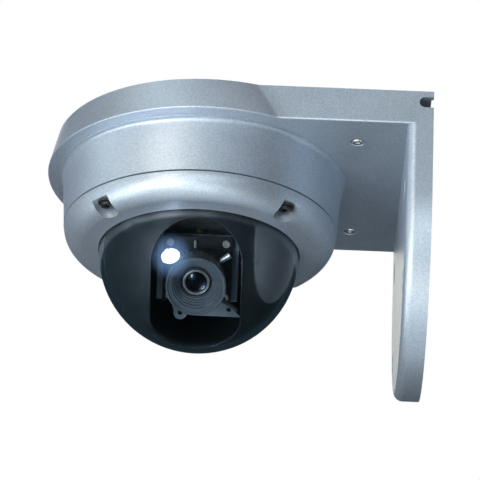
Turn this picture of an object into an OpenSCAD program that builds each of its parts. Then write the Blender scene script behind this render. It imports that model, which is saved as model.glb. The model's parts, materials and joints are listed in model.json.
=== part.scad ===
// Ceiling-style pan-tilt dome camera hung under an L-shaped wall bracket.
// Row frame: origin on the wall, midway between the four wall screws, +X into the wall,
// +Z up, and the lens looks towards -Y.
// hang() moves a shape into the dome frame: origin on the dome's axis at the
// underside of the arm, with z negative going down.

/* [Bracket] */
// Wall face to the dome's axis
reach = 112.5; // [108:0.5:125]
// Width of the arm and of the wall plate
arm_w = 145.5; // [143:0.5:149]
// Height of the arm
arm_h = 18; // [16:0.5:26]
// Height of the wall plate, arched at its foot
plate_h = 127.5; // [120:0.5:160]
// Depth of the wall plate
plate_t = 12.5; // [11:0.5:18]
// Radius of the arm's round nose at its lower edge
nose_r = 80.8; // [80:0.1:84]
// Radius of the nose at its top edge
nose_top_r = 76.7; // [76:0.1:80]
// Wall thickness of the bracket casting
shell_t = 3; // [2:0.5:3.5]
// Radius of the wall plate's front edge
edge_r = 4.5; // [2:0.5:5]

/* [Wall screws] */
// From the arm's top down to the middle of the screws
wall_drop = 67; // [60:0.5:70]
// Distance between the screws, across
wall_dy = 100; // [90:1:104]
// Distance between the screws, up and down
wall_dz = 52; // [40:1:56]
// Diameter of a screw hole
wall_d = 5.5; // [4:0.5:6]

/* [Dome] */
// Radius of the housing where it meets the arm
base_r = 72.5; // [72:0.1:73]
// Radius of the housing at its seam with the cover
seam_r = 68.5; // [68:0.1:69]
// Outer radius of the clear bubble
bubble_r = 50; // [49.5:0.1:50.2]
// Thickness of the bubble
bubble_t = 2; // [1.5:0.1:2.2]
// Outer radius of the black liner
liner_r = 47.2; // [46.9:0.1:47.4]
// Width of the liner's slot
slot_w = 44; // [40:1:46]

/* [Camera] */
// How far the lens points below level at rest
tilt_rest = 44; // [40:1:48]
// Lens front ring, outer radius
hood_r = 14.5; // [14:0.1:14.8]
// Tilt axis to the front of the lens
lens_reach = 42; // [40:0.5:42]

/* [Hidden] */
$fn = 96;
eps = 0.01;
arm_z = wall_drop - arm_h;        // underside of the arm
foot_z = wall_drop - plate_h + arm_w / 2;  // centre of the wall plate's round foot
floor_t = shell_t;
nose_dx = 2.5;                    // nose centre, from the dome's axis
lid_t = 2.5;
lid_gap = 0.2;
lid_z = arm_h - 0.1 - lid_t;      // underside of the lid
lid_screw_x = 76.5;
lid_screw_y = 50;
lid_post_x = -56;                 // plain posts at the nose end of the lid
lid_post_y = 26;
post_r = 4;
notch_h = 5.6;
notch_in = 7;
notch_z = 11.8;
cable_r = 9;
base_bolt_r = 46;                 // four bolts hold the housing to the arm
base_bolt_a = 15;

ceiling_t = 3;
seam_z = -28;
seam_gap = 0.8;
base_z = seam_z + seam_gap / 2;   // lower rim of the housing
cover_z = seam_z - seam_gap / 2;  // upper rim of the cover
ball_z = -40;                     // centre of the bubble's sphere
cover_bolt_r = 61.5;
cover_bolt_a = 43;                // the four cover screws, from +X
shoulder_r = 11.5;                // the cover's round shoulder
shoulder_x = seam_r - 0.2 - shoulder_r;
shoulder_z = cover_z - 0.1;
lip_r = bubble_r + 0.45;
lip_z = ball_z - 0.2;
seat_z = -35;                     // inner seat for the bubble's flange
flange_r = 55;
clamp_r = 58.6;                   // ring that clamps the bubble's flange
clamp_z = -32.4;
clamp_bolt_r = 56.9;
pocket_r = 5.4;
pocket_z = -33.8;

board_z = -6.5;
board_t = 1.6;
deck_z = -17;
deck_t = 2;
deck_bolt_r = 50;
cup_r = 19.5;
cup_z = -8.5;
race_top = -11;
race_h = 7;
race_out = 17;
race_in = 11;
ball_path = 14;
ball_r = 1.6;
hub_bore = 8.5;

pan_m = 0.8;                      // gear modules
pan_teeth = 72;
pinion_teeth = 16;
pan_gap = pan_m * (pan_teeth + pinion_teeth) / 2;
pan_gear_z = -24.5;
pan_gear_t = 4;
platform_z = -24.5;
platform_t = 2.5;
platform_r = 46;
platform_low = platform_z - platform_t;

pivot_z = -43;
yoke_x = 23.2;
yoke_t = 2;
ear_x = 18;
ear_t = 2;
tilt_m = 0.5;
tilt_teeth = 48;
tilt_gap = tilt_m * (tilt_teeth + pinion_teeth) / 2;
gear_x = ear_x + ear_t;
gear_t = 2.4;
axle_r = 2;
run = 0.05;                       // radial running clearance

plate_w = 12;                     // back of the cradle's plate, along the lens axis
sensor_w = 14.4;                  // back of the sensor board
sensor_side = 34;
sensor_pitch = 27.5;
barrel_r = 12;
zoom_w = 24.2;
zoom_len = 4.8;
focus_w = 30.6;
zoom_peg_w = 26.6;
focus_peg_w = 32.2;
funnel_steps = 5;
zoom_angle = 36;
focus_angle = -36;

paint = [0.66, 0.71, 0.76];
dark = [0.10, 0.11, 0.13];
steel = [0.72, 0.73, 0.75];
green = [0.10, 0.25, 0.18];
rubber = [0.07, 0.07, 0.08];

// ---- helpers ----

// Points on an arc of radius r about (x, y), from angle a to angle b
function arc(x, y, r, a, b, n = 8) =
    [for (i = [0:n]) let (t = a + (b - a) * i / n) [x + r * cos(t), y + r * sin(t)]];

module hang() translate([-reach, 0, arm_z]) children();

// Lens frame: z along the optical axis, pointing out, and y up across it
module lens_frame() hang() translate([0, 0, pivot_z]) rotate([90 + tilt_rest, 0, 0]) children();

module tube(r_out, r_in, h) difference() {
    cylinder(r = r_out, h = h);
    translate([0, 0, -1]) cylinder(r = r_in, h = h + 2);
}

// n copies at radius r, the first at angle a
module around(n, r, a = 0)
    for (i = [0:n - 1]) rotate([0, 0, a + 360 * i / n]) translate([r, 0, 0]) children();

// Four copies at the corners of a rectangle
module corners(dx, dy) for (x = [-dx / 2, dx / 2], y = [-dy / 2, dy / 2]) translate([x, y, 0]) children();

// Screw whose head hangs below z = 0 and whose shank goes up, with a socket in the head
module screw(head_r, head_h, shank_r, len) difference() {
    union() {
        translate([0, 0, -head_h]) cylinder(r1 = head_r * 0.86, r2 = head_r, h = head_h * 0.3);
        translate([0, 0, -head_h * 0.7]) cylinder(r = head_r, h = head_h * 0.7);
        cylinder(r = shank_r, h = len);
    }
    translate([0, 0, -head_h - 1]) cylinder(r = head_r * 0.48, h = head_h * 0.5 + 1, $fn = 6);
}

// Involute spur gear outline. A tooth is centred on angle 0.
function inv(a) = tan(a) * 180 / PI - a;
function gear_points(m, n, slack) =
    let (rp = m * n / 2, rb = rp * cos(20), ra = rp + 0.92 * m, rf = rp - 1.2 * m,
         half = 90 / n - slack / rp * 90 / PI,
         radii = [for (i = [0:4]) rb + (ra - rb) * i / 4],
         side = [for (r = radii) [r, half + inv(20) - inv(acos(min(1, rb / r)))]],
         up = concat([[rf, side[0][1] + 0.4]], side))
    [for (i = [0:n - 1]) each concat(
        [for (p = up) let (a = 360 * i / n - p[1]) [p[0] * cos(a), p[0] * sin(a)]],
        [for (k = [5:-1:0]) let (a = 360 * i / n + up[k][1]) [up[k][0] * cos(a), up[k][0] * sin(a)]])];
module gear(m, n, t, bore) linear_extrude(t) difference() {
    polygon(gear_points(m, n, 0.16));
    circle(r = bore);
}

// ---- bracket ----

// Keyhole-shaped arm, grown or shrunk by d, from z = 0 up to h
module arm_block(h, d = 0) {
    side = arm_w / 2 + d;
    translate([nose_dx, 0, 0]) cylinder(r1 = nose_r + d, r2 = nose_top_r + d, h = h, $fn = 180);
    translate([0, -side, 0]) cube([reach, 2 * side, h]);
}

// Half of the wall plate's hollow section: x from the middle outwards, y from the wall to the front
module plate_section() difference() {
    half = arm_w / 2;
    union() {
        square([half, plate_t - edge_r]);
        square([half - edge_r, plate_t]);
        translate([half - edge_r, plate_t - edge_r]) circle(r = edge_r);
    }
    translate([-1, -1]) square([half - shell_t + 1, plate_t - shell_t + 1]);
}

// Wall plate below the arm: straight sides and a round foot
module wall_plate() translate([0, 0, foot_z]) {
    rotate([0, -90, 0]) rotate([0, 0, 90]) rotate_extrude(angle = 180, $fn = 180) plate_section();
    rotate([0, 0, 90]) linear_extrude(arm_z - foot_z + eps) {
        plate_section();
        mirror([1, 0]) plate_section();
    }
}

module wall_screw_places()
    for (y = [-wall_dy / 2, wall_dy / 2], z = [-wall_dz / 2, wall_dz / 2]) translate([0, y, z])
        rotate([0, -90, 0]) children();

module bracket_body() color(paint) difference() {
    union() {
        difference() {
            hang() arm_block(arm_h);
            // inside of the arm, open at the top and at the wall
            hang() translate([0, 0, floor_t]) arm_block(arm_h, -shell_t);
            hang() translate([reach - plate_t + shell_t, shell_t - arm_w / 2, -1])
                cube([plate_t, arm_w - 2 * shell_t, arm_h + 2]);
        }
        wall_plate();
        wall_screw_places() cylinder(r = 7, h = plate_t);
    }
    wall_screw_places() {
        translate([0, 0, -1]) cylinder(d = wall_d, h = plate_t + 2);
        translate([0, 0, plate_t - 3]) cylinder(r = 5.2, h = 4);
    }
    // round-ended cable notch in the rear corner of the near side
    hang() translate([reach - notch_in + notch_h / 2, -arm_w / 2 - 1, notch_z]) rotate([-90, 0, 0]) {
        cylinder(d = notch_h, h = shell_t + 2);
        translate([0, -notch_h / 2, 0]) cube([notch_in + 1, notch_h, shell_t + 2]);
    }
    hang() {
        translate([0, 0, -1]) cylinder(r = cable_r, h = floor_t + 2);
        translate([0, 0, -1]) around(4, base_bolt_r, base_bolt_a) cylinder(r = 2 + run, h = floor_t + 2);
        for (s = [-1, 1]) translate([lid_screw_x, s * lid_screw_y, -1]) {
            cylinder(r = 1.6, h = floor_t + 2);
            cylinder(r = 3.2, h = 1 + 1.4);
        }
    }
}

module bracket_lid() color(paint) hang() {
    inner = -shell_t - lid_gap;
    // the nose leans inwards, so the lid fits where it is narrowest, at its top
    lean = (nose_r - nose_top_r) * (lid_z + lid_t - floor_t) / arm_h;
    translate([0, 0, lid_z]) {
        translate([nose_dx, 0, 0]) cylinder(r = nose_r - lean + inner, h = lid_t, $fn = 180);
        translate([0, -arm_w / 2 - inner, 0]) cube([reach - 1, arm_w + 2 * inner, lid_t]);
    }
}

// Posts under the lid: two take the screws from below, two stand at the nose
module lid_posts() color(steel) hang() translate([0, 0, floor_t]) for (s = [-1, 1]) {
    translate([lid_screw_x, s * lid_screw_y, 0]) difference() {
        cylinder(r = post_r, h = lid_z - floor_t);
        translate([0, 0, -1]) cylinder(r = 1.3, h = 9);
    }
    translate([lid_post_x, s * lid_post_y, 0]) cylinder(r = post_r, h = lid_z - floor_t);
}

module lid_screws() color(steel) hang()
    for (s = [-1, 1]) translate([lid_screw_x, s * lid_screw_y, 1.4]) screw(2.8, 1.7, 1.25, 9);

module cable_grommet() color(rubber) hang() difference() {
    union() {
        translate([0, 0, -ceiling_t - 1.5]) cylinder(r = 12, h = 1.5);
        translate([0, 0, -ceiling_t]) cylinder(r = cable_r - run, h = ceiling_t + floor_t);
        translate([0, 0, floor_t]) cylinder(r = 12, h = 1.5);
    }
    translate([0, 0, -6]) cylinder(r = 4, h = 14);
}

// ---- dome housing ----

module base_gasket() color(rubber) hang() translate([0, 0, -0.8]) tube(65.9, 62.1, 0.8);

module base_housing() color(paint) hang() difference() {
    union() {
        rotate_extrude($fn = 180) polygon(concat(
            [[cable_r, 0], [base_r, 0], [base_r, -0.5]],
            arc(base_r, -2.7, 2.2, 90, 170, 8),
            [[seam_r, base_z], [seam_r - 3, base_z], [base_r - 5.2, -ceiling_t], [cable_r, -ceiling_t]]));
        intersection() {
            around(4, cover_bolt_r, cover_bolt_a) translate([0, 0, base_z]) cylinder(r = 4.6, h = -base_z - 1);
            translate([0, 0, base_z]) cylinder(r1 = seam_r - 1, r2 = base_r - 4, h = -base_z);
        }
        translate([0, 0, deck_z]) around(3, deck_bolt_r, 30) cylinder(r = 3.5, h = -deck_z - 1);
        translate([0, 0, board_z]) around(3, deck_bolt_r, 90) cylinder(r = 2.5, h = -board_z - 1);
    }
    translate([0, 0, base_z - 1]) around(4, cover_bolt_r, cover_bolt_a) cylinder(r = 1.5 + run, h = 13);
    translate([0, 0, deck_z - 1]) around(3, deck_bolt_r, 30) cylinder(r = 1.25 + run, h = 9);
    translate([0, 0, board_z - 1]) around(3, deck_bolt_r, 90) cylinder(r = 1 + run, h = 5);
    translate([0, 0, -ceiling_t - 1]) around(4, base_bolt_r, base_bolt_a) cylinder(r = 2 + run, h = ceiling_t + 2);
    translate([0, 0, -0.8]) tube(66, 62, 2);
}

module base_bolts() color(steel) hang()
    translate([0, 0, -ceiling_t]) around(4, base_bolt_r, base_bolt_a)
        screw(3.6, 2.4, 2, ceiling_t + floor_t + 1.5);

module seam_gasket() color(rubber) hang() translate([0, 0, cover_z]) tube(seam_r - 0.6, seam_r - 2.6, seam_gap);

function cover_outside() = concat(
    [[seam_r, cover_z], [seam_r - 0.2, shoulder_z]],
    arc(shoulder_x, shoulder_z, shoulder_r, 0, -82, 20),
    arc(lip_r + 0.8, lip_z + 0.7, 0.7, -60, -90, 3));

module cover_screw_places() translate([0, 0, pocket_z]) around(4, cover_bolt_r, cover_bolt_a) children();

module dome_cover() color(paint) hang() difference() {
    union() {
        rotate_extrude($fn = 180) polygon(concat(cover_outside(), [
            [lip_r, lip_z], [lip_r, seat_z], [flange_r + 0.5, seat_z], [flange_r + 0.5, clamp_z],
            [clamp_r + 0.3, clamp_z], [seam_r - 5.4, -33.6], [seam_r - 2.8, -30.6], [seam_r - 2.8, cover_z]]));
        // bosses for the four screws, outside the bubble's seat
        difference() {
            intersection() {
                rotate_extrude($fn = 180) polygon(concat(cover_outside(), [[lip_r, lip_z], [lip_r, cover_z]]));
                translate([0, 0, lip_z]) around(4, cover_bolt_r, cover_bolt_a) cylinder(r = 6.6, h = cover_z - lip_z);
            }
            translate([0, 0, seat_z]) cylinder(r = flange_r + 0.5, h = 20);
            translate([0, 0, clamp_z]) cylinder(r = clamp_r + 0.3, h = 20);
        }
    }
    // U-shaped pockets that run out through the shoulder
    cover_screw_places() {
        translate([0, 0, -12]) linear_extrude(12) {
            circle(r = pocket_r);
            translate([0, -pocket_r]) square([12, 2 * pocket_r]);
        }
        cylinder(r = 1.7, h = 12);
    }
    translate([0, 0, seat_z - 0.4]) around(4, clamp_bolt_r) cylinder(r = 0.8 + run, h = 6);
}

module cover_screws() color(dark) hang() cover_screw_places() screw(3.5, 2.6, 1.5, 15);

module bubble_gasket() color(rubber) hang() translate([0, 0, seat_z]) tube(flange_r, lip_r, 0.8);

module dome_bubble() color([0.75, 0.8, 0.85, 0.3]) hang() {
    z = seat_z + 0.8;
    inner = bubble_r - bubble_t;
    difference() {
        union() {
            translate([0, 0, ball_z]) sphere(r = bubble_r, $fn = 180);
            translate([0, 0, ball_z]) cylinder(r = bubble_r, h = z - ball_z + 2, $fn = 180);
            translate([0, 0, z]) cylinder(r = flange_r - 0.2, h = 2, $fn = 180);
        }
        translate([0, 0, ball_z]) sphere(r = inner, $fn = 180);
        translate([0, 0, ball_z]) cylinder(r = inner, h = 20, $fn = 180);
        translate([0, 0, z + 2]) cylinder(r = bubble_r + 1, h = 60);
    }
}

module bubble_clamp_ring() color(steel) hang() translate([0, 0, seat_z + 2.8]) difference() {
    tube(clamp_r, lip_r, 1.2);
    translate([0, 0, -1]) around(4, clamp_bolt_r) cylinder(r = 0.8 + run, h = 4);
}

module clamp_screws() color(steel) hang() translate([0, 0, seat_z + 4])
    around(4, clamp_bolt_r) rotate([180, 0, 0]) screw(1.5, 1.1, 0.8, 3.6);

// ---- fixed electronics and pan drive ----

module main_board() color(green) hang() translate([0, 0, board_z - board_t]) difference() {
    tube(56, cup_r + 1.5, board_t);
    translate([0, pan_gap, -1]) cylinder(r = 12.5, h = board_t + 2);
    translate([0, 0, -1]) {
        around(3, deck_bolt_r, 30) cylinder(r = 4.5, h = board_t + 2);
        around(4, base_bolt_r, base_bolt_a) cylinder(r = 4.2, h = board_t + 2);
        around(3, deck_bolt_r, 90) cylinder(r = 1.1, h = board_t + 2);
    }
}

module board_screws() color(steel) hang()
    translate([0, 0, board_z - board_t]) around(3, deck_bolt_r, 90) screw(2, 1.4, 1, 4.5);

module board_parts() color(dark) hang() translate([0, 0, board_z - board_t]) {
    for (a = [200, 222, 310]) rotate([0, 0, a]) translate([30, 0, -7]) cylinder(r = 3.6, h = 7);
    for (a = [180, 250, 285]) rotate([0, 0, a]) translate([32, -5, -1.6]) cube([10, 10, 1.6]);
    for (a = [325, 160]) rotate([0, 0, a]) translate([26, -6, -6.5]) cube([6, 12, 6.5]);
}

module pan_deck() color(steel) hang() difference() {
    union() {
        translate([0, 0, deck_z - deck_t]) cylinder(r = 54, h = deck_t);
        translate([0, 0, deck_z - deck_t]) cylinder(r = cup_r, h = cup_z - deck_z + deck_t);
    }
    translate([0, 0, deck_z - deck_t - 1]) cylinder(r = race_out + 0.02, h = race_top - deck_z + deck_t + 1);
    translate([0, 0, -20]) cylinder(r = 13.5, h = cup_z + 20 - 0.9);
    translate([0, 0, -20]) cylinder(r = 8 + run, h = 20);
    translate([0, pan_gap, deck_z - deck_t - 1]) cylinder(r = 8, h = deck_t + 2);
    translate([0, 0, deck_z - deck_t - 1]) around(3, deck_bolt_r, 30) cylinder(r = 1.4, h = deck_t + 2);
}

module deck_screws() color(steel) hang()
    translate([0, 0, deck_z - deck_t]) around(3, deck_bolt_r, 30) screw(2.6, 1.6, 1.25, 8);

module race_groove() translate([0, 0, race_top - race_h / 2])
    rotate_extrude() translate([ball_path, 0]) circle(r = ball_r + 0.03, $fn = 48);

module pan_bearing_outer() color(steel) hang() difference() {
    translate([0, 0, race_top - race_h]) tube(race_out, ball_path + 1, race_h);
    race_groove();
}

module pan_bearing_inner() color(steel) hang() difference() {
    translate([0, 0, race_top - race_h]) tube(ball_path - 1, race_in, race_h);
    race_groove();
}

// Balls, joined by the thin cage that spaces them
module pan_bearing_balls() color([0.8, 0.8, 0.82]) hang() translate([0, 0, race_top - race_h / 2]) {
    around(14, ball_path) sphere(r = ball_r, $fn = 32);
    translate([0, 0, -0.5]) tube(ball_path + 0.6, ball_path - 0.6, 1);
}

module slip_ring_body() color(dark) hang() {
    translate([0, 0, cup_z]) cylinder(r = 11, h = 1.4);
    translate([0, 0, -24]) cylinder(r = 8, h = 24 + cup_z);
}

module slip_ring_rotor() color([0.75, 0.6, 0.25]) hang() {
    translate([0, 0, platform_low]) cylinder(r = 7.8, h = -24.3 - platform_low);
    translate([0, 0, platform_low - 3.5]) cylinder(r = 4.6, h = 3.5);
}

// Small can motor, its face at z = 0 and its shaft going down
module can_motor(r, h, shaft_r) difference() {
    union() {
        cylinder(r = r, h = h);
        translate([0, 0, h - 0.01]) cylinder(r = r * 0.45, h = 1.2);
    }
    translate([0, 0, -1]) cylinder(r = shaft_r + run, h = h * 0.7 + 1);
}

module pan_motor() color(steel) hang() translate([0, pan_gap, deck_z]) can_motor(10, 10.5, 1);

module pan_motor_shaft() color(steel) hang() translate([0, pan_gap, pan_gear_z + 0.4])
    cylinder(r = 1, h = deck_z - pan_gear_z + 6);

module pan_pinion() color([0.85, 0.83, 0.75]) hang() translate([0, pan_gap, pan_gear_z + 0.4])
    rotate([0, 0, 90 + 180 / pinion_teeth]) gear(pan_m, pinion_teeth, pan_gear_t - 0.4, 1);

// ---- pan platform ----

module pan_hub() color(steel) hang() difference() {
    union() {
        translate([0, 0, race_top - race_h - 0.2]) cylinder(r = race_in - 0.02, h = race_h + 1.6);
        translate([0, 0, platform_low]) cylinder(r = 12, h = race_top - race_h - 0.2 - platform_low);
        translate([0, 0, platform_low - 1.5]) cylinder(r = 16, h = 1.5);
    }
    translate([0, 0, platform_low]) cylinder(r = hub_bore, h = 40);
    translate([0, 0, platform_low - 3]) cylinder(r = 5, h = 10);
    translate([0, 0, race_top + 0.1]) tube(13, race_in - 0.6, 0.9);
}

module hub_circlip() color(dark) hang() translate([0, 0, race_top + 0.15]) difference() {
    tube(race_in + 1.2, race_in - 0.55, 0.8);
    translate([0, -1.5, -1]) cube([20, 3, 3]);
}

module pan_gear() color([0.85, 0.83, 0.75]) hang() translate([0, 0, pan_gear_z]) difference() {
    rotate([0, 0, 90]) gear(pan_m, pan_teeth, pan_gear_t, 12.02);
    translate([0, 0, -1]) around(6, 20) cylinder(r = 4, h = pan_gear_t + 2);
}

module pan_platform() color(dark) hang() translate([0, 0, platform_low]) difference() {
    cylinder(r = platform_r, h = platform_t);
    translate([0, 0, -1]) {
        cylinder(r = 12.02, h = platform_t + 2);
        around(3, 43.6, 90) cylinder(r = 1.1, h = platform_t + 2);
        for (x = [-29, 29], y = [-5, 5]) translate([x, y, 0]) cylinder(r = 1.1, h = platform_t + 2);
    }
}

// Slot in the liner: a stadium laid round the ball, from near level to past the bottom
module slot_cut() {
    half = slot_w / 2;
    swing = asin(half / liner_r);
    top = 4 + swing;
    low = 102 - swing;
    translate([0, 0, ball_z]) {
        for (a = [top, low]) rotate([90 + a, 0, 0]) cylinder(r = half, h = 60, $fn = 120);
        rotate([90, 0, -90]) translate([0, 0, 0.05 - half]) linear_extrude(slot_w - 0.1)
            polygon(concat([[0, 0]], arc(0, 0, 60, -top, -low, 6)));
    }
}

module liner() color([0.05, 0.06, 0.07]) hang() difference() {
    translate([0, 0, ball_z]) rotate_extrude($fn = 180) difference() {
        union() {
            circle(r = liner_r, $fn = 180);
            translate([0, 0]) square([liner_r, platform_low - ball_z]);
        }
        circle(r = liner_r - 1.2, $fn = 180);
        square([liner_r - 1.2, platform_low - ball_z - 1.2]);
        square([41, 60]);
        translate([0, platform_low - ball_z]) square([60, 60]);
        translate([-100, -100]) square([100, 200]);
    }
    translate([0, 0, platform_low - 3]) around(3, 43.6, 90) cylinder(r = 1.1, h = 5);
    slot_cut();
}

module liner_screws() color(steel) hang()
    translate([0, 0, platform_low - 1.2]) around(3, 43.6, 90) screw(1.9, 1.2, 1, 3.4);

// One side plate of the yoke, on the +x side, with its foot under the platform
module yoke_side(motor) difference() {
    union() {
        translate([yoke_x, 0, pivot_z]) rotate([0, 90, 0]) cylinder(r = 7, h = yoke_t);
        translate([yoke_x, -7, pivot_z]) cube([yoke_t, 14, platform_low - pivot_z]);
        translate([yoke_x, -9, platform_low - 1.8]) cube([9, 18, 1.8]);
        if (motor) {
            translate([yoke_x, tilt_gap, pivot_z]) rotate([0, 90, 0]) cylinder(r = 8.5, h = yoke_t);
            translate([yoke_x, 0, pivot_z]) cube([yoke_t, tilt_gap, 8.5]);
        }
    }
    translate([yoke_x - 1, 0, pivot_z]) rotate([0, 90, 0]) cylinder(r = axle_r, h = yoke_t + 2);
    if (motor) translate([yoke_x - 1, tilt_gap, pivot_z]) rotate([0, 90, 0]) cylinder(r = 4.8, h = yoke_t + 2);
    for (y = [-5, 5]) translate([29, y, platform_low - 3]) cylinder(r = 1.1, h = 5);
}

module yoke_right() color(steel) hang() yoke_side(true);
module yoke_left() color(steel) hang() mirror([1, 0, 0]) yoke_side(false);

module yoke_screws() color(steel) hang()
    for (x = [-29, 29], y = [-5, 5]) translate([x, y, platform_low - 1.8]) screw(1.9, 1.3, 1, 4);

module tilt_axles() color(steel) hang() for (s = [0, 1]) mirror([s, 0, 0]) translate([0, 0, pivot_z])
    rotate([0, 90, 0]) {
        translate([0, 0, ear_x - 1]) cylinder(r = axle_r, h = yoke_x + yoke_t - ear_x + 1);
        translate([0, 0, yoke_x + yoke_t]) cylinder(r = 3.4, h = 1.2);
    }

module tilt_motor() color(steel) hang() translate([yoke_x + yoke_t, tilt_gap, pivot_z]) rotate([0, 90, 0])
    can_motor(7.5, 9, 0.75);

module tilt_motor_shaft() color(steel) hang() translate([gear_x + 0.3, tilt_gap, pivot_z]) rotate([0, 90, 0])
    cylinder(r = 0.75, h = 9);

module tilt_pinion() color([0.85, 0.83, 0.75]) hang() translate([gear_x + 0.3, tilt_gap, pivot_z])
    rotate([90, 0, 90]) rotate([0, 0, 180 + 180 / pinion_teeth]) gear(tilt_m, pinion_teeth, gear_t - 0.3, 0.75);

// ---- tilting camera ----

module tilt_gear() color([0.85, 0.83, 0.75]) hang() translate([gear_x, 0, pivot_z]) rotate([90, 0, 90])
    gear(tilt_m, tilt_teeth, gear_t, 3);

module tilt_bushes() color([0.8, 0.62, 0.3]) hang() for (s = [0, 1]) mirror([s, 0, 0])
    translate([ear_x, 0, pivot_z]) rotate([0, 90, 0]) difference() {
        union() {
            translate([0, 0, -0.8]) cylinder(r = 4, h = 0.8);
            cylinder(r = 3, h = ear_t);
        }
        translate([0, 0, -2]) cylinder(r = axle_r + run, h = 6);
    }

module camera_cradle() color([0.36, 0.40, 0.44]) lens_frame() difference() {
    union() {
        translate([0, 0, plate_w]) linear_extrude(1.6) {
            square([2 * (ear_x + ear_t), 34], center = true);
            polygon([[-2, -17], [14, -17], [22, -25], [-2, -25]]);
            polygon([[-13, -16], [-3, -16], [-5, -24], [-11, -24]]);
            translate([-8, -24]) circle(r = 3.4);
        }
        for (s = [0, 1]) mirror([s, 0, 0]) translate([ear_x, 0, 0]) {
            rotate([0, 90, 0]) cylinder(r = 7.5, h = ear_t);
            translate([0, -7.5, 0]) cube([ear_t, 15, plate_w + 1]);
        }
        corners(sensor_pitch, sensor_pitch) translate([0, 0, plate_w + 1.5]) cylinder(r = 2.4, h = 0.9);
    }
    rotate([0, 90, 0]) translate([0, 0, -30]) cylinder(r = 3, h = 60);
    translate([0, 0, plate_w - 1]) {
        cylinder(r = 9, h = 4);
        corners(sensor_pitch, sensor_pitch) cylinder(r = 0.95, h = 5);
        translate([-8, -24, 0]) cylinder(r = 1.2, h = 4);
        translate([16, -21.5, 0]) cylinder(r = 1.2, h = 4);
    }
}

module sensor_board() color([0.06, 0.08, 0.09]) lens_frame() translate([0, 0, sensor_w]) difference() {
    translate([-sensor_side / 2, -sensor_side / 2, 0]) cube([sensor_side, sensor_side, board_t]);
    translate([0, 0, -1]) corners(sensor_pitch, sensor_pitch) cylinder(r = 0.95, h = 4);
}

module sensor_screws() color(steel) lens_frame() translate([0, 0, sensor_w + board_t])
    corners(sensor_pitch, sensor_pitch) rotate([180, 0, 0]) screw(1.9, 1.2, 0.9, 3.8);

module image_sensor() color([0.15, 0.12, 0.25]) lens_frame()
    translate([-4, -3.5, sensor_w + board_t]) cube([8, 7, 1.1]);

module ir_filter() color([0.6, 0.3, 0.35, 0.5]) lens_frame()
    translate([0, 0, sensor_w + board_t + 1.6]) cylinder(r = 6.9, h = 0.8);

module lens_mount() color(dark) lens_frame() translate([0, 0, sensor_w + board_t]) difference() {
    union() {
        translate([-10.5, -10.5, 0]) cube([21, 21, 2]);
        cylinder(r = 10, h = 7);
    }
    translate([0, 0, -1]) cylinder(r = 7, h = 10);
}

module lens_barrel() color(dark) lens_frame() difference() {
    union() {
        translate([0, 0, 19.2]) cylinder(r = 6.95, h = 4);
        translate([0, 0, 23.1]) cylinder(r = 13.4, h = 0.8);
        translate([0, 0, 23.1]) cylinder(r = barrel_r, h = 9.9);
        translate([0, 0, zoom_w + zoom_len + 0.3]) cylinder(r = 14.1, h = 1);
        translate([0, 0, 23.1]) cylinder(r = 7.2, h = 11.3);
    }
    translate([0, 0, 25]) tube(barrel_r - 1.2, 7.2, 12);
    translate([0, 0, 18]) cylinder(r = 5.4, h = 20);
}

module rear_lens() color([0.6, 0.75, 0.85, 0.4]) lens_frame() translate([0, 0, 20]) intersection() {
    cylinder(r = 5.38, h = 3);
    translate([0, 0, 11]) sphere(r = 11.2);
}

module front_lens() color([0.6, 0.75, 0.85, 0.4]) lens_frame() translate([0, 0, 31.6]) intersection() {
    cylinder(r = 5.38, h = 3.4);
    translate([0, 0, -6.6]) sphere(r = 9.6);
}

module lens_bezel() color(steel) lens_frame() translate([0, 0, 34.4]) difference() {
    cylinder(r = 6.4, h = 1);
    translate([0, 0, -0.5]) cylinder(r1 = 4.6, r2 = 5.8, h = 2);
}

module zoom_ring() color(dark) lens_frame() translate([0, 0, zoom_w]) difference() {
    union() {
        cylinder(r = 13.7, h = zoom_len);
        for (i = [0:35]) rotate([0, 0, i * 10]) translate([13.2, -0.5, 0.5]) cube([0.9, 1, zoom_len - 1]);
    }
    translate([0, 0, -1]) cylinder(r = barrel_r + run, h = zoom_len + 2);
    rotate([0, 0, zoom_angle]) translate([0, 0, zoom_peg_w - zoom_w]) rotate([0, 90, 0])
        cylinder(r = 0.9 + run, h = 20);
}

// Round metal lock peg, standing out from the ring
module zoom_lock_peg() color(steel) lens_frame() rotate([0, 0, zoom_angle])
    translate([0, 0, zoom_peg_w]) rotate([0, 90, 0]) {
        translate([0, 0, barrel_r + 0.2]) cylinder(r = 0.9, h = 3);
        translate([0, 0, 14.6]) cylinder(r = 1.5, h = 5);
    }

module focus_ring() color([0.30, 0.33, 0.36]) lens_frame() difference() {
    union() {
        translate([0, 0, focus_w]) cylinder(r = hood_r - 0.7, h = lens_reach - focus_w);
        translate([0, 0, lens_reach - 3.6]) cylinder(r = hood_r, h = 3.6);
        for (i = [0:35]) rotate([0, 0, i * 10])
            translate([hood_r - 1.4, -0.5, focus_w + 0.4]) cube([1.1, 1, 6.4]);
    }
    translate([0, 0, focus_w - 1]) cylinder(r = barrel_r + run, h = 3.6);
    translate([0, 0, focus_w]) cylinder(r = 7.6, h = 20);
    // stepped funnel down to the lens, against stray light
    for (i = [0:funnel_steps - 1]) translate([0, 0, lens_reach - 1.4 - (funnel_steps - i) * 1.25])
        cylinder(r1 = 7.9 + i * 0.9, r2 = 8.5 + i * 0.9, h = 8);
    translate([0, 0, lens_reach - 1.41]) cylinder(r = 12.6, h = 0.42);
    translate([0, 0, lens_reach - 1]) cylinder(r1 = 13.2, r2 = 13.9, h = 1.1);
    rotate([0, 0, focus_angle]) translate([0, 0, focus_peg_w]) rotate([0, 90, 0])
        translate([0, 0, 10]) cylinder(r = 0.8 + run, h = 20);
}

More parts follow.
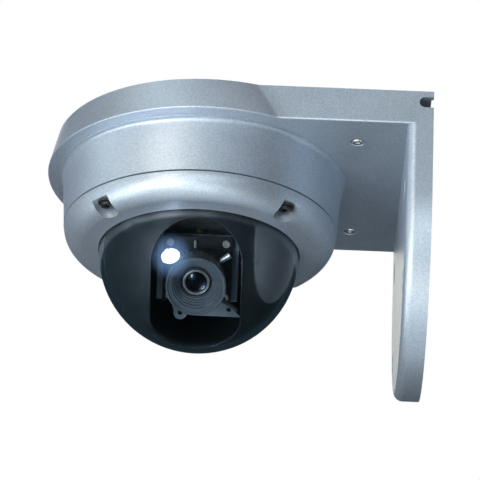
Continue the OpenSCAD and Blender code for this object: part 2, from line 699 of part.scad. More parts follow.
// Slim dark lock lever, with a small knob at its root
module focus_lock_lever() color(rubber) lens_frame() rotate([0, 0, focus_angle])
    translate([0, 0, focus_peg_w]) rotate([0, 90, 0]) {
        translate([0, 0, barrel_r + 0.3]) cylinder(r = 0.8, h = 4);
        translate([0, 0, hood_r + 0.3]) cylinder(r = 1.5, h = 2.2);
        translate([0, 0, hood_r + 2.4]) cylinder(r = 0.9, h = 8);
    }

bracket_body();
bracket_lid();
lid_posts();
lid_screws();
cable_grommet();
base_gasket();
base_housing();
base_bolts();
seam_gasket();
dome_cover();
cover_screws();
bubble_gasket();
dome_bubble();
bubble_clamp_ring();
clamp_screws();
main_board();
board_parts();
board_screws();
pan_deck();
deck_screws();
pan_bearing_outer();
pan_bearing_balls();
pan_bearing_inner();
slip_ring_body();
slip_ring_rotor();
pan_motor();
pan_motor_shaft();
pan_pinion();
pan_hub();
hub_circlip();
pan_gear();
pan_platform();
liner();
liner_screws();
yoke_left();
yoke_right();
yoke_screws();
tilt_axles();
tilt_motor();
tilt_motor_shaft();
tilt_pinion();
tilt_gear();
tilt_bushes();
camera_cradle();
sensor_board();
sensor_screws();
image_sensor();
ir_filter();
lens_mount();
lens_barrel();
rear_lens();
front_lens();
lens_bezel();
zoom_ring();
zoom_lock_peg();
focus_ring();
focus_lock_lever();
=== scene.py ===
"""Looks for a pan and tilt dome camera hung under an L-shaped wall bracket.

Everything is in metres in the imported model's own frame: +X into the wall, +Z up, and the lens
looks towards -Y and down. Shapes made here are drawn in millimetres in the dome's own frame, whose
origin is on the dome's axis at the underside of the arm, and then set in place.
"""
import json
import math

import bmesh
import bpy
from mathutils import Matrix, Vector


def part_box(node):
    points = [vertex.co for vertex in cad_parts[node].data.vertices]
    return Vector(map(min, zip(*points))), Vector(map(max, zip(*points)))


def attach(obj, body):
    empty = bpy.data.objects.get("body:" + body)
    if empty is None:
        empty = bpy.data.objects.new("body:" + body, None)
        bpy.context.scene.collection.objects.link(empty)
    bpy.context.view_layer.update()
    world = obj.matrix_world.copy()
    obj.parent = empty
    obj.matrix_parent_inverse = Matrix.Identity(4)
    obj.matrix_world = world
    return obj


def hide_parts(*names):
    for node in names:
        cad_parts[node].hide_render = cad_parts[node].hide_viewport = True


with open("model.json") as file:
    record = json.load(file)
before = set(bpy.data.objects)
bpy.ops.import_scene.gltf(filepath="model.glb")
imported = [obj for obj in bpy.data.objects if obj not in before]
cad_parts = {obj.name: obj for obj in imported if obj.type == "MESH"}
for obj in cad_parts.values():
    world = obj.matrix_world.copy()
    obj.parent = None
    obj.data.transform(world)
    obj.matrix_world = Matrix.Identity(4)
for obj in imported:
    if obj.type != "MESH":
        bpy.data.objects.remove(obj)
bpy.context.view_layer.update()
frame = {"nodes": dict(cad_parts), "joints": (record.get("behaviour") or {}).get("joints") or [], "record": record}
nodes = frame["nodes"]
joints = {j["name"]: j for j in frame["joints"]}
scene = bpy.context.scene
MM = 0.001

# ---- places taken from the frame ----


def middle(node):
    low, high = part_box(node)
    return (low + high) / 2


axis_x = middle("dome_bubble").x
arm_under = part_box("base_housing")[1].z
TO_DOME = Matrix.Translation((axis_x, 0, arm_under)) @ Matrix.Scale(MM, 4)
pivot = Vector(joints["tilt"]["pos_m"])
look = Vector(joints["zoom_turn"]["axis"]).normalized()
across = Vector((1, 0, 0))
TO_LENS = (
    Matrix.Translation(pivot)
    @ Matrix((across, look.cross(across), look)).transposed().to_4x4()
    @ Matrix.Scale(MM, 4)
)


def reach_of(node):
    """Box of a node in the dome's frame, in millimetres."""
    low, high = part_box(node)
    to_mm = TO_DOME.inverted()
    return to_mm @ low, to_mm @ high


# ---- camera ----

LENS_MM = 252.3
SENSOR_MM = 36.0
AIM = Vector((0.0201, 0.0124, -0.0255))  # from the dome's axis at the arm's underside
DISTANCE = 1.700
AZIMUTH, ELEVATION, ROLL = 0.627, -25.857, 2.56


def make_camera():
    data = bpy.data.cameras.new("camera")
    data.lens, data.sensor_width = LENS_MM, SENSOR_MM
    cam = bpy.data.objects.new("camera", data)
    scene.collection.objects.link(cam)
    a, e = math.radians(AZIMUTH), math.radians(ELEVATION)
    back = Vector((math.sin(a) * math.cos(e), -math.cos(a) * math.cos(e), math.sin(e)))
    turn = (-back).to_track_quat("-Z", "Y").to_matrix() @ Matrix.Rotation(math.radians(ROLL), 3, "Z")
    place = Vector((axis_x, 0, arm_under)) + AIM + back * DISTANCE
    cam.matrix_world = Matrix.Translation(place) @ turn.to_4x4()
    data.clip_start, data.clip_end = 0.05, 50
    scene.camera = cam


# ---- light ----

# Name: azimuth from straight ahead towards the left and height above level in degrees, distance,
# width, watts by colour, and, for a disc that isn't round, its height over its width
SOFT_LIGHTS = {
    "round_lamp": (34.4, -27.5, 1.0, 0.38, (4.4, 4.5, 4.8), 0.74),
    "front_high": (22, 32, 1.6, 0.8, (0.8, 1.3, 1.6)),
    "front_high_left": (45, 35, 1.6, 0.8, (2.7, 2.9, 2.7)),
    "front_left": (25, 5, 1.7, 0.7, (6.4, 5.4, 4.3)),
    "front_low": (-5, -5, 1.8, 0.8, (4.4, 5.2, 5.4)),
    "front_right": (-30, 10, 1.7, 0.8, (0.6, 0.6, 0.8)),
    "low_front": (0, -50, 1.4, 0.9, (4.4, 4.6, 4.2)),
    "left_side": (80, 10, 1.6, 1.2, (3.4, 3.8, 3.9)),
    "left_low": (75, -35, 1.6, 1.0, (7.1, 7.9, 7.9)),
    "left_behind": (130, 20, 1.7, 1.2, (0.3, 0.3, 0.6)),
    "below": (0, -85, 1.1, 1.2, (2.4, 2.7, 3.0)),
    "overhead": (0, 85, 1.6, 1.4, (7.8, 7.4, 7.6)),
    "behind_high": (180, 40, 1.8, 1.4, (12.6, 12.0, 10.2)),
}
HALO = (34.4, -27.5, 1.02, 1.1, (0.7, 1.3, 2.4))  # glow round the lamp, shown in the bubble only
GLOW_INNER, GLOW_OUTER, GLOW_PEAK = 0.08, 0.5, 4  # radii in disc widths, and strength at the centre
ROOM_LOW, ROOM_HIGH = (0.006, 0.008, 0.009), (0.02, 0.038, 0.05)  # the room's dim light
FLOOR_DROP, FLOOR_REACH = 1.25, 6.0
FLOOR_WASH, WASH_SPREAD = 3.6, 60  # strength and angle of the light that only falls on the floor


def soft_light(name, azimuth, height, distance, size, watts, tall=1.0):
    """Disc light that faces the dome's top from the given side and height."""
    a, h = math.radians(azimuth), math.radians(height)
    away = Vector((-math.sin(a) * math.cos(h), -math.cos(a) * math.cos(h), math.sin(h)))
    data = bpy.data.lights.new(name, "AREA")
    data.shape, data.size, data.size_y = "ELLIPSE", size, size * tall
    data.energy = max(watts)
    data.color = tuple(w / max(watts) for w in watts)
    lamp = bpy.data.objects.new(name, data)
    scene.collection.objects.link(lamp)
    lamp.location = Vector((axis_x, 0, arm_under)) + away * distance
    lamp.rotation_mode = "QUATERNION"
    lamp.rotation_quaternion = away.to_track_quat("Z", "Y")
    return lamp


def link_light(lamp, obj, state):
    """Let a light shine on, and show in, nothing but one object, or everything but that object."""
    group = bpy.data.collections.new(lamp.name + "_link")
    group.objects.link(obj)
    lamp.light_linking.receiver_collection = group
    group.collection_objects[0].light_linking.link_state = state


def fade_out(data):
    """Make a disc light brightest at its centre and dark at its rim, like the glow round a lamp."""
    data.use_nodes = True
    nt = data.node_tree
    emission = nt.nodes["Emission"]
    place = nt.nodes.new("ShaderNodeNewGeometry")
    centred = nt.nodes.new("ShaderNodeVectorMath")
    centred.operation = "SUBTRACT"
    centred.inputs[1].default_value = (0.5, 0.5, 0)
    away = nt.nodes.new("ShaderNodeVectorMath")
    away.operation = "LENGTH"
    falloff = nt.nodes.new("ShaderNodeMapRange")
    falloff.interpolation_type = "SMOOTHERSTEP"
    falloff.inputs["From Min"].default_value = GLOW_INNER
    falloff.inputs["From Max"].default_value = GLOW_OUTER
    falloff.inputs["To Min"].default_value = GLOW_PEAK
    falloff.inputs["To Max"].default_value = 0
    nt.links.new(place.outputs["Parametric"], centred.inputs[0])
    nt.links.new(centred.outputs[0], away.inputs[0])
    nt.links.new(away.outputs["Value"], falloff.inputs["Value"])
    nt.links.new(falloff.outputs[0], emission.inputs["Strength"])


def make_light():
    """Soft lights, and a dim room behind which the camera itself sees plain white."""
    scene.view_settings.view_transform = "Standard"
    for name, values in SOFT_LIGHTS.items():
        lamp = soft_light(name, *values)
        if name != "round_lamp":
            link_light(lamp, nodes["dome_bubble"], "EXCLUDE")
    halo = soft_light("lamp_halo", *HALO)
    link_light(halo, nodes["dome_bubble"], "INCLUDE")
    fade_out(halo.data)
    world = bpy.data.worlds.new("studio")
    scene.world = world
    world.use_nodes = True
    nt = world.node_tree
    nt.nodes.clear()
    out = nt.nodes.new("ShaderNodeOutputWorld")
    seen = nt.nodes.new("ShaderNodeBackground")
    seen.inputs["Color"].default_value = (1, 1, 1, 1)
    room = nt.nodes.new("ShaderNodeBackground")
    place = nt.nodes.new("ShaderNodeTexCoord")
    split = nt.nodes.new("ShaderNodeSeparateXYZ")
    ramp = nt.nodes.new("ShaderNodeValToRGB")
    high = nt.nodes.new("ShaderNodeMapRange")
    high.inputs["From Min"].default_value = -1
    nt.links.new(place.outputs["Generated"], split.inputs[0])
    nt.links.new(split.outputs["Z"], high.inputs["Value"])
    nt.links.new(high.outputs[0], ramp.inputs["Fac"])
    ramp.color_ramp.elements[0].color = (*ROOM_LOW, 1)
    ramp.color_ramp.elements[1].color = (*ROOM_HIGH, 1)
    nt.links.new(ramp.outputs["Color"], room.inputs["Color"])
    path = nt.nodes.new("ShaderNodeLightPath")
    mix = nt.nodes.new("ShaderNodeMixShader")
    nt.links.new(path.outputs["Is Camera Ray"], mix.inputs[0])
    nt.links.new(room.outputs[0], mix.inputs[1])
    nt.links.new(seen.outputs[0], mix.inputs[2])
    nt.links.new(mix.outputs[0], out.inputs["Surface"])


# ---- materials ----


def node_material(name):
    mat = bpy.data.materials.new(name)
    mat.use_nodes = True
    nt = mat.node_tree
    shader = nt.nodes["Principled BSDF"]
    place = nt.nodes.new("ShaderNodeTexCoord")
    return mat, nt, shader, place.outputs["Object"]


def noise(nt, place, size_mm, detail=2.0):
    tex = nt.nodes.new("ShaderNodeTexNoise")
    tex.inputs["Scale"].default_value = 1 / (size_mm * MM)
    tex.inputs["Detail"].default_value = detail
    nt.links.new(place, tex.inputs["Vector"])
    return tex.outputs["Fac"]


def spread(nt, value, low, high):
    """The middle half of a noise turned into a number from low to high."""
    node = nt.nodes.new("ShaderNodeMapRange")
    node.inputs["From Min"].default_value = 0.25
    node.inputs["From Max"].default_value = 0.75
    node.inputs["To Min"].default_value = low
    node.inputs["To Max"].default_value = high
    nt.links.new(value, node.inputs["Value"])
    return node.outputs[0]


def blend_colours(nt, factor, a, b):
    node = nt.nodes.new("ShaderNodeMix")
    node.data_type = "RGBA"
    nt.links.new(factor, node.inputs["Factor"])
    node.inputs["A"].default_value = (*a, 1)
    node.inputs["B"].default_value = (*b, 1)
    return node.outputs["Result"]


def bump(nt, shader, height, depth_mm):
    node = nt.nodes.new("ShaderNodeBump")
    node.inputs["Distance"].default_value = depth_mm * MM
    nt.links.new(height, node.inputs["Height"])
    nt.links.new(node.outputs[0], shader.inputs["Normal"])


def grained(name, dark, light, rough, grain_mm, depth_mm, patch_mm=12, metallic=0, specular=0.5):
    """Surface with fine grain, a slow change of shade and roughness that varies with both."""
    mat, nt, shader, place = node_material(name)
    grain = noise(nt, place, grain_mm, 3)
    patch = noise(nt, place, patch_mm)
    both = nt.nodes.new("ShaderNodeMath")
    both.operation = "ADD"
    nt.links.new(spread(nt, grain, 0, 0.6), both.inputs[0])
    nt.links.new(spread(nt, patch, 0, 0.4), both.inputs[1])
    nt.links.new(blend_colours(nt, both.outputs[0], dark, light), shader.inputs["Base Color"])
    nt.links.new(spread(nt, both.outputs[0], *rough), shader.inputs["Roughness"])
    shader.inputs["Metallic"].default_value = metallic
    shader.inputs["Specular IOR Level"].default_value = specular
    bump(nt, shader, grain, depth_mm)
    return mat


def paint():
    """Silver-blue metallic lacquer: fine flakes, a faint orange peel and a thin clear coat."""
    dark_flake, bright_flake = (0.385, 0.445, 0.52), (0.64, 0.71, 0.805)
    flake_mm, cloud_mm, rough_mm, peel_mm, peel_depth_mm = 0.32, 20, 0.7, 1.1, 0.012
    mat, nt, shader, place = node_material("silver_paint")
    flakes = nt.nodes.new("ShaderNodeTexVoronoi")
    flakes.inputs["Scale"].default_value = 1 / (flake_mm * MM)
    nt.links.new(place, flakes.inputs["Vector"])
    split = nt.nodes.new("ShaderNodeSeparateColor")
    nt.links.new(flakes.outputs["Color"], split.inputs[0])
    flake = split.outputs[0]
    cloud = noise(nt, place, cloud_mm, 3)
    both = nt.nodes.new("ShaderNodeMath")
    both.operation = "MULTIPLY_ADD"
    both.inputs[1].default_value = 0.75
    nt.links.new(flake, both.inputs[0])
    nt.links.new(spread(nt, cloud, 0, 0.25), both.inputs[2])
    shade = blend_colours(nt, both.outputs[0], dark_flake, bright_flake)
    nt.links.new(shade, shader.inputs["Base Color"])
    nt.links.new(spread(nt, noise(nt, place, rough_mm), 0.42, 0.52), shader.inputs["Roughness"])
    shader.inputs["Metallic"].default_value = 0.75
    shader.inputs["Coat Weight"].default_value = 0.12
    shader.inputs["Coat Roughness"].default_value = 0.3
    peel = nt.nodes.new("ShaderNodeMath")
    peel.operation = "MULTIPLY_ADD"
    peel.inputs[1].default_value = 0.25
    nt.links.new(flake, peel.inputs[0])
    nt.links.new(noise(nt, place, peel_mm), peel.inputs[2])
    bump(nt, shader, peel.outputs[0], peel_depth_mm)
    return mat


def clear(name, tint, ior, rough):
    """Glass or clear plastic that lets lamps through to what is behind it."""
    tint_patch_mm, rough_patch_mm = 25, 8
    mat, nt, shader, place = node_material(name)
    paler = tuple(min(1, c * 1.03) for c in tint)
    shade = blend_colours(nt, noise(nt, place, tint_patch_mm), tint, paler)
    nt.links.new(shade, shader.inputs["Base Color"])
    nt.links.new(spread(nt, noise(nt, place, rough_patch_mm, 3), *rough), shader.inputs["Roughness"])
    shader.inputs["Transmission Weight"].default_value = 1
    shader.inputs["IOR"].default_value = ior
    open_ = nt.nodes.new("ShaderNodeBsdfTransparent")
    open_.inputs["Color"].default_value = (*(c**0.5 for c in tint), 1)
    path = nt.nodes.new("ShaderNodeLightPath")
    mix = nt.nodes.new("ShaderNodeMixShader")
    nt.links.new(path.outputs["Is Shadow Ray"], mix.inputs[0])
    nt.links.new(shader.outputs[0], mix.inputs[1])
    nt.links.new(open_.outputs[0], mix.inputs[2])
    nt.links.new(mix.outputs[0], nt.nodes["Material Output"].inputs["Surface"])
    return mat


# Slot: dark and light shade, roughness from and to, grain size and depth in millimetres, then, where
# they aren't the usual ones, the size of the patches, metallic and specular
GRAINED = {
    "rubber": ((0.010, 0.012, 0.014), (0.03, 0.03, 0.034), (0.55, 0.8), 0.5, 0.02),
    "liner_black": ((0.002, 0.004, 0.005), (0.009, 0.015, 0.018), (0.34, 0.48), 0.45, 0.025, 9, 0, 0.6),
    "steel": ((0.55, 0.56, 0.57), (0.78, 0.78, 0.77), (0.24, 0.40), 0.3, 0.004, 5, 0.85),
    "dark_steel": ((0.003, 0.0035, 0.004), (0.009, 0.010, 0.012), (0.42, 0.55), 0.3, 0.004, 5),
    "green_board": ((0.01, 0.06, 0.035), (0.02, 0.11, 0.06), (0.3, 0.45), 1.2, 0.01),
    "black_board": ((0.003, 0.005, 0.006), (0.008, 0.011, 0.013), (0.3, 0.45), 1.2, 0.01),
    "chip_black": ((0.012, 0.012, 0.014), (0.03, 0.03, 0.034), (0.45, 0.6), 0.4, 0.01),
    "black_plastic": ((0.010, 0.012, 0.014), (0.024, 0.028, 0.032), (0.38, 0.52), 0.4, 0.012),
    "hood_grey": ((0.035, 0.047, 0.056), (0.065, 0.082, 0.095), (0.30, 0.42), 0.4, 0.008),
    "cradle_grey": ((0.10, 0.13, 0.15), (0.15, 0.19, 0.215), (0.4, 0.55), 0.5, 0.01),
    "gear_plastic": ((0.55, 0.51, 0.42), (0.68, 0.64, 0.54), (0.35, 0.5), 0.8, 0.01),
    "brass": ((0.45, 0.30, 0.10), (0.66, 0.48, 0.2), (0.22, 0.36), 0.3, 0.004, 5, 1),
}


def make_materials():
    finishes = {slot: grained(slot, *values) for slot, values in GRAINED.items()}
    finishes["silver_paint"] = paint()
    finishes["clear_dome"] = clear("clear_dome", (0.86, 0.91, 0.94), 1.585, (0.0, 0.008))
    finishes["lens_glass"] = clear("lens_glass", (0.80, 0.88, 0.94), 1.6, (0.0, 0.02))
    return finishes


# ---- mesh tools ----


def put_mesh(name, bm, to_row, body, slot, sharp_deg=32, even=False):
    """Object from a bmesh in millimetres: set in place, shaded, finished and riding on its body."""
    bm.transform(to_row)
    bmesh.ops.recalc_face_normals(bm, faces=bm.faces)
    mesh = bpy.data.meshes.new(name)
    bm.to_mesh(mesh)
    bm.free()
    mesh.polygons.foreach_set("use_smooth", [True] * len(mesh.polygons))
    mesh.set_sharp_from_angle(angle=math.radians(sharp_deg))
    piece = bpy.data.objects.new(name, mesh)
    scene.collection.objects.link(piece)
    mesh.materials.append(materials[slot])
    if even:
        weigh = piece.modifiers.new("even", "WEIGHTED_NORMAL")
        weigh.keep_sharp = True
    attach(piece, body)
    return piece


def tube_round(bm, points, radius, sides=10):
    """Closed bead of round section through a loop of points."""
    askew = Vector((0.31, 0.17, 0.93))  # not along any part of the loops drawn here
    count = len(points)
    rings = []
    for i, point in enumerate(points):
        ahead = (points[(i + 1) % count] - points[i - 1]).normalized()
        side = ahead.cross(askew).normalized()
        up = ahead.cross(side)
        rings.append(
            [
                bm.verts.new(point + radius * (math.cos(t) * side + math.sin(t) * up))
                for t in (2 * math.pi * k / sides for k in range(sides))
            ]
        )
    for a, b in zip(rings, rings[1:] + rings[:1]):
        for k in range(sides):
            n = (k + 1) % sides
            bm.faces.new((a[k], a[n], b[n], b[k]))


def circle(radius, z, steps, centre=Vector((0, 0, 0))):
    turns = (2 * math.pi * k / steps for k in range(steps))
    return [centre + Vector((radius * math.cos(t), radius * math.sin(t), z)) for t in turns]


def loft(rings):
    """Closed solid through rings of the same number of points, with flat ends."""
    bm = bmesh.new()
    loops = [[bm.verts.new(v) for v in ring] for ring in rings]
    count = len(loops[0])
    for a, b in zip(loops, loops[1:]):
        for k in range(count):
            n = (k + 1) % count
            bm.faces.new((a[k], a[n], b[n], b[k]))
    bm.faces.new(loops[0])
    bm.faces.new(loops[-1])
    bmesh.ops.recalc_face_normals(bm, faces=bm.faces)
    return bm


def turned(profile, to_place=Matrix.Identity(4), steps=48):
    """Solid turned about z from (radius, z) points whose first and last lie on the axis."""
    bm = bmesh.new()
    ends = [bm.verts.new((0, 0, profile[0][1])), bm.verts.new((0, 0, profile[-1][1]))]
    loops = []
    for radius, z in profile[1:-1]:
        loops.append([bm.verts.new(point) for point in circle(radius, z, steps)])
    for k in range(steps):
        n = (k + 1) % steps
        bm.faces.new((ends[0], loops[0][n], loops[0][k]))
        bm.faces.new((ends[1], loops[-1][k], loops[-1][n]))
        for a, b in zip(loops, loops[1:]):
            bm.faces.new((a[k], a[n], b[n], b[k]))
    bmesh.ops.recalc_face_normals(bm, faces=bm.faces)
    bm.transform(to_place)
    return bm


def gather(parts):
    """Several bmeshes as one."""
    mesh = bpy.data.meshes.new("gathered")
    whole = bmesh.new()
    for part in parts:
        part.to_mesh(mesh)
        whole.from_mesh(mesh)
        part.free()
    bpy.data.meshes.remove(mesh)
    return whole


def combine(a, b, operation):
    """Exact boolean of two closed bmeshes."""
    made = []
    for bm in (a, b):
        mesh = bpy.data.meshes.new("part")
        bm.to_mesh(mesh)
        bm.free()
        made.append(bpy.data.objects.new("part", mesh))
        scene.collection.objects.link(made[-1])
    mod = made[0].modifiers.new("cut", "BOOLEAN")
    mod.operation, mod.object, mod.solver = operation, made[1], "EXACT"
    bpy.context.view_layer.update()
    shape = made[0].evaluated_get(bpy.context.evaluated_depsgraph_get())
    result = bmesh.new()
    result.from_mesh(shape.to_mesh())
    shape.to_mesh_clear()
    for obj in made:
        mesh = obj.data
        bpy.data.objects.remove(obj)
        bpy.data.meshes.remove(mesh)
    bmesh.ops.dissolve_degenerate(result, dist=0.001, edges=result.edges)
    return result


# ---- bracket casting, with its edges eased ----

SHELL = 3.0  # wall thickness of the casting
PLATE_T = 12.5  # thickness of the wall plate, its hollow included
PLATE_TOP = 2  # how far the plate runs up into the arm before the two are joined
NOSE_X = 2.5  # centre of the nose, from the dome's axis
NOSE_LOW, NOSE_TOP = 80.8, 76.7  # its radius at the lower and upper edge
SOFT_EDGE, TOP_EDGE, FRONT_EDGE = 0.9, 0.5, 4.5  # rounding under the arm, on top, and on the plate
LID_SEAT, LID_LEAN = 0.4, 1.4  # the rim's inner edge opens towards the lid
PAST = 1  # how far a cutting shape runs past what it cuts
POST_R, WALL_SCREW, SINK, SINK_DEPTH = 7, 2.75, 5.2, 3.0
LID_SCREW, LID_RECESS, LID_RECESS_DEPTH = 1.6, 3.2, 1.4
LID_HEAD = 2.8  # radius of the lid screws' heads
WIRE_HOLE = 9  # radius of the hole above the dome
NOTCH_R, NOTCH_IN, NOTCH_Z = 2.8, 4.2, 11.8  # cable notch in the arm's near side, at the wall

bracket_low, bracket_high = reach_of("bracket_body")
wall_bolts = next(m["dims"] for m in frame["record"]["mounts"] if m["name"] == "wall_bolts")
ARM_H = bracket_high.z
WALL_X = bracket_high.x
FOOT_Z = round(bracket_low.z, 1)
HALF = 72.75  # half the arm's width, and the radius of the plate's round foot


def keyhole(z, grow, wall=WALL_X):
    """Outline of the arm at height z: a leaning round nose that runs into straight sides."""
    arc, run = 132, 10
    radius = NOSE_LOW + (NOSE_TOP - NOSE_LOW) * z / ARM_H + grow
    side = HALF + grow
    join = math.atan2(side, math.sqrt(radius**2 - side**2))
    start = NOSE_X + radius * math.cos(join)
    points = []
    for k in range(arc + 1):
        t = join + (2 * math.pi - 2 * join) * k / arc
        points.append((NOSE_X + radius * math.cos(t), radius * math.sin(t), z))
    points += [(start + (wall - start) * k / run, -side, z) for k in range(1, run + 1)]
    points += [(wall + (start - wall) * k / run, side, z) for k in range(run)]
    return points


def arch(depth, inset, top):
    """Outline of the wall plate at a depth from the wall: straight sides and a round foot."""
    arc = 96
    centre, radius, x = FOOT_Z + HALF, HALF - inset, WALL_X - depth
    points = [(x, -radius, top)]
    for k in range(arc + 1):
        t = math.pi * (1 + k / arc)
        points.append((x, radius * math.cos(t), centre + radius * math.sin(t)))
    return points + [(x, radius, top)]


def quarter_turn(steps):
    return [math.pi / 2 * k / steps for k in range(steps + 1)]


def wall_screw_places():
    """Matrix at each wall screw, on the wall, with z out of it."""
    across_mm, upright_mm = wall_bolts["spacing_x_mm"], wall_bolts["spacing_y_mm"]
    mid_z = -arm_under / MM
    out_of_wall = Matrix.Rotation(-math.pi / 2, 4, "Y")
    return [
        Matrix.Translation((WALL_X, sy * across_mm / 2, mid_z + sz * upright_mm / 2)) @ out_of_wall
        for sy in (-1, 1)
        for sz in (-1, 1)
    ]


def bracket_holes():
    """Everything drilled: wall screws, lid screws, the wires' hole and the cable notch."""
    sunk = [
        (0, -PAST),
        (WALL_SCREW, -PAST),
        (WALL_SCREW, PLATE_T - SINK_DEPTH),
        (SINK, PLATE_T - SINK_DEPTH),
        (SINK, PLATE_T - 0.5),
        (SINK + 0.5, PLATE_T),
        (SINK + 0.5, PLATE_T + PAST),
        (0, PLATE_T + PAST),
    ]
    holes = [turned(sunk, place) for place in wall_screw_places()]
    recess = [
        (0, -PAST),
        (LID_RECESS + 0.5, -PAST),
        (LID_RECESS + 0.5, 0),
        (LID_RECESS + 0.1, 0.4),
        (LID_RECESS, LID_RECESS_DEPTH),
        (LID_SCREW, LID_RECESS_DEPTH),
        (LID_SCREW, SHELL + PAST),
        (0, SHELL + PAST),
    ]
    low, high = reach_of("lid_screws")
    lid_x, lid_y = (low.x + high.x) / 2, (high.y - low.y) / 2 - LID_HEAD
    for y in (-lid_y, lid_y):
        holes.append(turned(recess, Matrix.Translation((lid_x, y, 0))))
    holes.append(turned([(0, -PAST), (WIRE_HOLE, -PAST), (WIRE_HOLE, SHELL + PAST), (0, SHELL + PAST)]))
    notch = []
    for k in range(25):
        t = math.pi * (0.5 + k / 24)
        notch.append((WALL_X - NOTCH_IN + NOTCH_R * math.cos(t), NOTCH_Z + NOTCH_R * math.sin(t)))
    notch += [(WALL_X + PAST, NOTCH_Z - NOTCH_R), (WALL_X + PAST, NOTCH_Z + NOTCH_R)]
    sides = (-HALF - PAST, -HALF + SHELL + PAST)
    holes.append(loft([[(x, y, z) for x, z in notch] for y in sides]))
    return gather(holes)


def make_bracket():
    """The casting: arm and plate as one shell, with the posts and holes for its screws."""
    under = [(SOFT_EDGE * (1 - math.cos(t)), SOFT_EDGE * (math.sin(t) - 1)) for t in quarter_turn(6)]
    rim = [
        (ARM_H - TOP_EDGE * (1 - math.sin(t)), TOP_EDGE * (math.cos(t) - 1)) for t in quarter_turn(6)
    ]
    arm = loft([keyhole(z, grow) for z, grow in under + rim])
    front = [
        (PLATE_T - FRONT_EDGE * (1 - math.sin(t)), FRONT_EDGE * (1 - math.cos(t)))
        for t in quarter_turn(10)
    ]
    plate = loft([arch(depth, inset, PLATE_TOP) for depth, inset in [(0, 0)] + front])
    body = combine(arm, plate, "UNION")
    rises = ((SHELL, -SHELL), (ARM_H - LID_SEAT, -SHELL), (ARM_H + PAST, LID_LEAN - SHELL))
    inside = loft([keyhole(z, grow, WALL_X + PAST) for z, grow in rises])
    body = combine(body, inside, "DIFFERENCE")
    hollow = loft([arch(depth, SHELL, ARM_H + 2) for depth in (-PAST, PLATE_T - SHELL)])
    body = combine(body, hollow, "DIFFERENCE")
    post = [(0, 0), (POST_R, 0), (POST_R, PLATE_T - 1), (0, PLATE_T - 1)]
    body = combine(body, gather(turned(post, place) for place in wall_screw_places()), "UNION")
    body = combine(body, bracket_holes(), "DIFFERENCE")
    piece = put_mesh("bracket_casting", body, TO_DOME, "housing", "silver_paint", even=True)
    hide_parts("bracket_body")


# ---- small pieces seen through the bubble ----

BALL_Z = -40.0  # centre of the bubble and of the liner's ball
LINER_R = 47.2
SLOT_HALF = 22.0  # half the width of the liner's slot
SLOT_HIGH, SLOT_LOW = 4, 102  # its ends, in degrees below level
SLOT_BEAD = 0.42
# bright rims that paint the highlights on the lens cell's edges
CELL_HIGHLIGHT_RIMS = ((6.2, 35.38, 0.17), (5.6, 35.42, 0.12))  # radius, place along the lens, bead radius
CRYSTAL = ((0, 0), (0.95, 0), (0.95, 0.5), (0.72, 0.6), (0.72, 4.6), (0.4, 5.0), (0, 5.0))
CRYSTAL_PLACE = (-1.4, 10.4, 17.2)  # on the sensor board, with z along the lens from the tilt axis
COVER_BOLT_R, COVER_BOLT_ANGLE, POCKET_Z = 61.5, 43, -33.8
# rings of painted shade in the cover's screw pockets: radius, bead radius, and drop below the pocket's level
SHADE_RING_R, SHADE_RING_BEAD, SHADE_RING_DROP = 4.2, 0.58, 0.6


def make_slot_edge():
    """Thin rolled edge round the slot in the black liner."""
    height = math.sqrt(LINER_R**2 - SLOT_HALF**2)
    swing = math.asin(SLOT_HALF / LINER_R)
    high, low = math.radians(SLOT_HIGH) + swing, math.radians(SLOT_LOW) - swing
    end_steps, side_steps = 28, 24
    points = []

    def end(angle, start):
        ahead = Vector((0, -math.cos(angle), -math.sin(angle)))
        up = Vector((0, -math.sin(angle), math.cos(angle)))
        for k in range(end_steps + 1):
            t = start + math.pi * k / end_steps
            points.append(height * ahead + SLOT_HALF * (math.cos(t) * across + math.sin(t) * up))

    def side(x, first, last):
        for k in range(1, side_steps):
            t = first + (last - first) * k / side_steps
            points.append(Vector((x, -height * math.cos(t), -height * math.sin(t))))

    end(high, 0)
    side(-SLOT_HALF, high, low)
    end(low, math.pi)
    side(SLOT_HALF, low, high)
    bm = bmesh.new()
    tube_round(bm, [point + Vector((0, 0, BALL_Z)) for point in points], SLOT_BEAD)
    put_mesh("liner_slot_edge", bm, TO_DOME, "pan_head", "liner_black", sharp_deg=60)


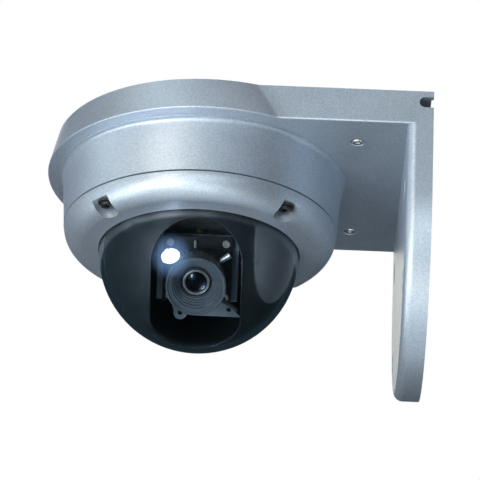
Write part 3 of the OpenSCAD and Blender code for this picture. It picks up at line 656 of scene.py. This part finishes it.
def make_lens_highlight_rims():
    """Bright steel rims on the front lens cell: a painted highlight, standing in for the light caught on the edges
    of the dark bezel.
    """
    bm = bmesh.new()
    for radius, height, bead in CELL_HIGHLIGHT_RIMS:
        tube_round(bm, circle(radius, height, 72), bead)
    put_mesh("lens_cell_highlight_rims", bm, TO_LENS, "camera", "steel", sharp_deg=60)


def make_board_crystal():
    """Metal-cased crystal that stands on the sensor board, above the lens."""
    upright = Matrix.Rotation(-math.pi / 2, 4, "X")
    to_board = TO_LENS @ Matrix.Translation(CRYSTAL_PLACE) @ upright
    put_mesh("board_crystal", turned(CRYSTAL, steps=28), to_board, "camera", "steel")


def make_pocket_shade_rings():
    """Black rubber-finished rings round the heads of the cover screws, put there as painted shade that darkens the
    screw pockets.
    """
    bm = bmesh.new()
    for k in range(4):
        turn = math.radians(COVER_BOLT_ANGLE + 90 * k)
        screw = COVER_BOLT_R * Vector((math.cos(turn), math.sin(turn), 0))
        tube_round(bm, circle(SHADE_RING_R, POCKET_Z - SHADE_RING_DROP, 48, screw), SHADE_RING_BEAD)
    put_mesh("cover_pocket_shade_rings", bm, TO_DOME, "housing", "rubber", sharp_deg=60)


# ---- floor ----


def make_floor():
    """Plain pale floor, seen only directly: its image and its light would haze the dark bubble."""
    bm = bmesh.new()
    bmesh.ops.create_grid(bm, x_segments=2, y_segments=2, size=FLOOR_REACH)
    mesh = bpy.data.meshes.new("floor")
    bm.to_mesh(mesh)
    bm.free()
    floor = bpy.data.objects.new("floor", mesh)
    scene.collection.objects.link(floor)
    floor.location = (0, 0, -FLOOR_DROP)
    pale = ((0.70, 0.70, 0.70), (0.76, 0.76, 0.76), (0.7, 0.8), 3, 0.02, 60)
    mesh.materials.append(grained("floor_pale", *pale))
    floor.visible_glossy = False
    floor.visible_diffuse = False
    floor.visible_transmission = False
    wash_data = bpy.data.lights.new("floor_wash", "SUN")
    wash_data.energy, wash_data.angle = FLOOR_WASH, math.radians(WASH_SPREAD)
    wash = bpy.data.objects.new("floor_wash", wash_data)
    scene.collection.objects.link(wash)
    link_light(wash, floor, "INCLUDE")


# ---- build ----

make_camera()
make_light()
materials = make_materials()
slot_of = {p["node"]: p["material_slot"] for p in frame["record"]["subparts"]}
for name, node in nodes.items():
    node.data.materials.clear()
    node.data.materials.append(materials[slot_of[name]])
make_floor()
make_bracket()
make_slot_edge()
make_lens_highlight_rims()
make_board_crystal()
make_pocket_shade_rings()
